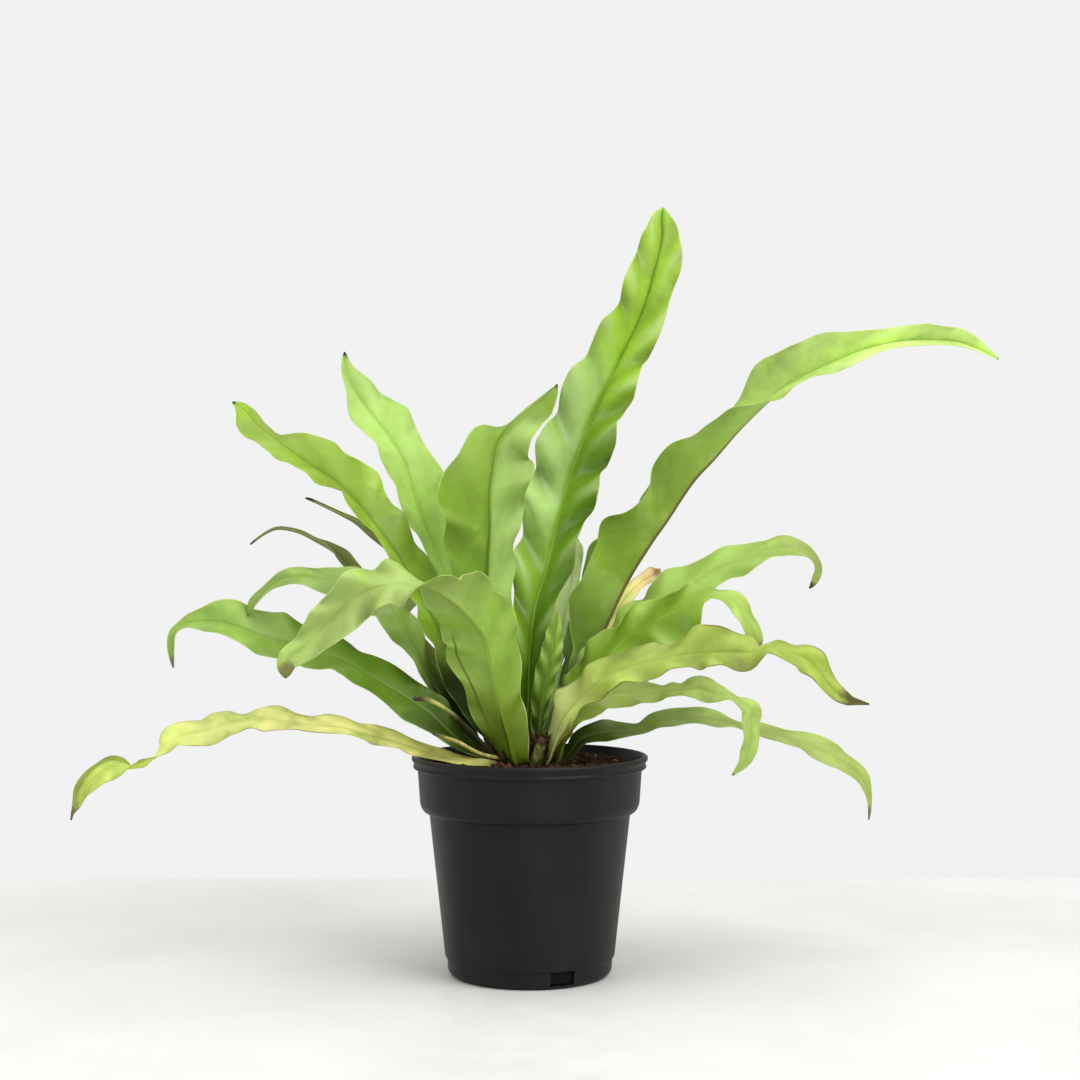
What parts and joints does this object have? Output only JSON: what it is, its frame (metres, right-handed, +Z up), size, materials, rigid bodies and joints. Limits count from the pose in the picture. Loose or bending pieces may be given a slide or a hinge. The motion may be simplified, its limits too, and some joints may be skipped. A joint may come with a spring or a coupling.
{
  "type": "potted fern",
  "caption": "Potted bird's-nest fern with a lopsided rosette of wavy strap fronds in a round tapered plastic nursery pot.",
  "frame": {"origin": "middle of the pot's flat underside, on the surface it stands on", "axes": "+Z up along the pot's axis; +X to the right and -Y to the front as the plant is first seen, +X also along the plant's longest spread"},
  "size_m": [0.5128, 0.2973, 0.4343],
  "materials": {
    "pot_plastic": "black injection-moulded polypropylene, satin, slightly dusty",
    "potting_mix": "moist coarse coir and bark crumbs with pale grit",
    "rhizome": "fibrous brown scales",
    "frond_green": "waxy bright yellow-green leaf, paler beneath",
    "frond_pale": "waxy pale green leaf",
    "frond_yellow": "ageing leaf, green turning yellow with brown spots",
    "frond_dull": "dull dark green narrow leaf with a brown edge",
    "frond_withered": "dry straw-yellow leaf with a brown tip",
    "dry_stalk": "dry brown stalk"
  },
  "bodies": {
    "root": {"pot": "pot_plastic", "potting_mix": "potting_mix", "rhizome": "rhizome", "frond_tall": "frond_green", "frond_long_right": "frond_green", "frond_upright_front": "frond_green", "frond_pale_left": "frond_pale", "frond_arching_left": "frond_green", "frond_thin_twisted": "frond_dull", "frond_curled_left": "frond_dull", "frond_bent_left": "frond_green", "frond_folded_front": "frond_green", "frond_low_left": "frond_green", "frond_yellow_left": "frond_yellow", "frond_upper_right": "frond_green", "frond_broad_right": "frond_green", "frond_yellow_right": "frond_yellow", "frond_hooked_right": "frond_green", "frond_low_right": "frond_green", "frond_young_crinkled": "frond_green", "frond_young_back": "frond_green", "frond_withered": "frond_withered", "frond_back_arching": "frond_green", "frond_back_right": "frond_green", "frond_back_left": "frond_green", "frond_back_low": "frond_green", "dry_stalk_long": "dry_stalk", "dry_stalk_thin": "dry_stalk", "old_stub_front": "dry_stalk"}
  },
  "joints": []
}
